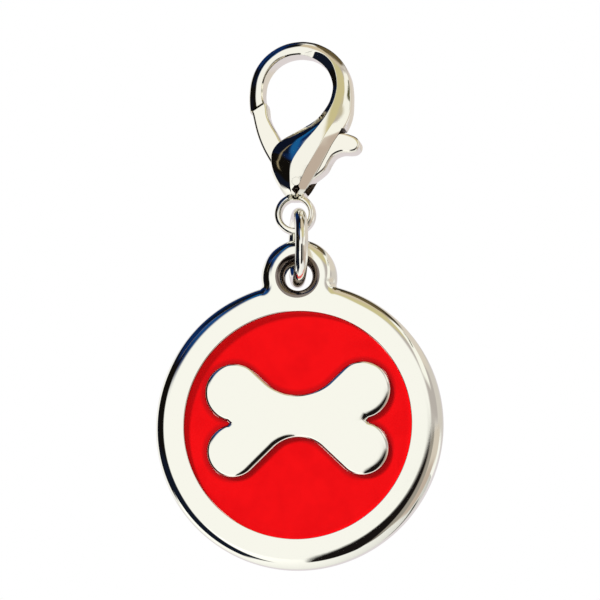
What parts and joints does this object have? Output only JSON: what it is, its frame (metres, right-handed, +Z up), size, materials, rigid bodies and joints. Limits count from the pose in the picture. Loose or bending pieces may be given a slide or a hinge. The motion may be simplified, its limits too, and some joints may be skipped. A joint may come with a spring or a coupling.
{
  "type": "pet id tag",
  "caption": "Round enamelled pet id tag with a raised bone, hanging from a jump ring and a sprung lobster clasp that clips onto a collar's ring.",
  "frame": {"origin": "inside of the hook's crown, where the collar's ring bears when the tag hangs, in the middle of the thickness", "axes": "+Z up, against the hang; +Y towards the back of the tag, so that the enamelled face looks along -Y; +X to the right seen from the front, towards the thumb tab"},
  "size_m": [0.031, 0.0084, 0.0573],
  "materials": {
    "cast_plate": "polished plate on a casting",
    "lever_plate": "polished plate on a casting",
    "pin_steel": "ground flush",
    "spring_steel": "rolled strip",
    "ring_plate": "polished plate on wire",
    "tag_plate": "polished plate on a casting",
    "red_enamel": "soft enamel, levelled and glossy"
  },
  "bodies": {
    "clasp": {"clasp_body": "cast_plate", "lever_pin": "pin_steel", "lever_spring": "spring_steel"},
    "lever": {"clasp_lever": "lever_plate"},
    "ring": {"jump_ring": "ring_plate"},
    "tag": {"tag_body": "tag_plate", "enamel_fill": "red_enamel"}
  },
  "joints": [
    {"name": "gate_hinge", "type": "hinge", "parent": "clasp", "child": "lever", "pos_m": [-0.0001, 0, -0.014], "axis": [0, 1, 0], "range_deg": [0, 24], "stiffness_Nm_per_rad": 0.004, "springref_deg": -68.75, "deforming": ["lever_spring"]},
    {"name": "ring_swing", "type": "hinge", "parent": "clasp", "child": "ring", "pos_m": [-0.0005, 0, -0.0191], "axis": [1, 0, 0], "range_deg": [-35, 35]},
    {"name": "tag_swing", "type": "hinge", "parent": "ring", "child": "tag", "pos_m": [-0.0001, 0, -0.02455], "axis": [0, 1, 0], "range_deg": [-70, 70]}
  ]
}
